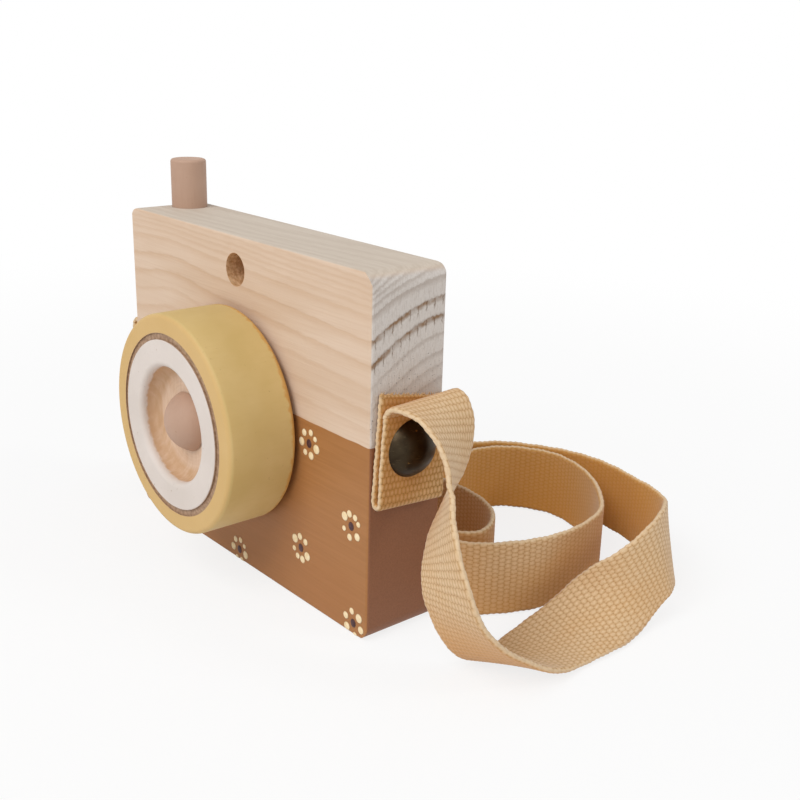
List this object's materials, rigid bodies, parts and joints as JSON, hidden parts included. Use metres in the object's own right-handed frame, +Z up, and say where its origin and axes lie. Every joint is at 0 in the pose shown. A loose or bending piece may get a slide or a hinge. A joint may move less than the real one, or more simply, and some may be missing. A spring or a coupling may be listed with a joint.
{
  "type": "toy camera",
  "caption": "Wooden toy camera: a solid block with a turning lens drum, a sprung press button, a sight hole and a neck strap of cotton webbing nailed to both ends.",
  "frame": {"origin": "middle of the block's underside, which stands on the floor", "axes": "+X along the width to the end with the hanging strap, -Y out of the lens, +Z up towards the press button"},
  "size_m": [0.1728, 0.1195, 0.1035],
  "materials": {
    "pine": "sanded pine, bare above and painted brown below",
    "yellow_paint": "matt mustard paint on wood",
    "white_paint": "matt off-white paint on wood",
    "taupe_paint": "matt taupe paint on wood",
    "felt": "dark pressed felt",
    "steel": "plain drawn wire",
    "webbing": "ribbed cotton webbing",
    "bronze": "antiqued dark bronze"
  },
  "bodies": {
    "camera_body": {"body_block": "pine", "lens_peg": "taupe_paint", "lens_washer": "felt", "shutter_spring": "steel", "shutter_stop_pin": "steel", "strap": "webbing", "strap_end_right": "webbing", "strap_end_left": "webbing", "tack_cap_right": "bronze", "tack_nail_right": "steel", "tack_cap_left": "bronze", "tack_nail_left": "steel"},
    "lens": {"lens_barrel": "yellow_paint", "lens_face": "white_paint"},
    "shutter": {"shutter_button": "taupe_paint"}
  },
  "joints": [
    {"name": "lens_turn", "type": "hinge", "parent": "camera_body", "child": "lens", "pos_m": [0, -0.0219, 0.0439], "axis": [0, -1, 0], "continuous": true},
    {"name": "shutter_press", "type": "slide", "parent": "camera_body", "child": "shutter", "axis": [0, 0, -1], "range_m": [0, 0.005], "stiffness_N_per_m": 300, "springref_m": -0.004, "deforming": ["shutter_spring"]}
  ]
}
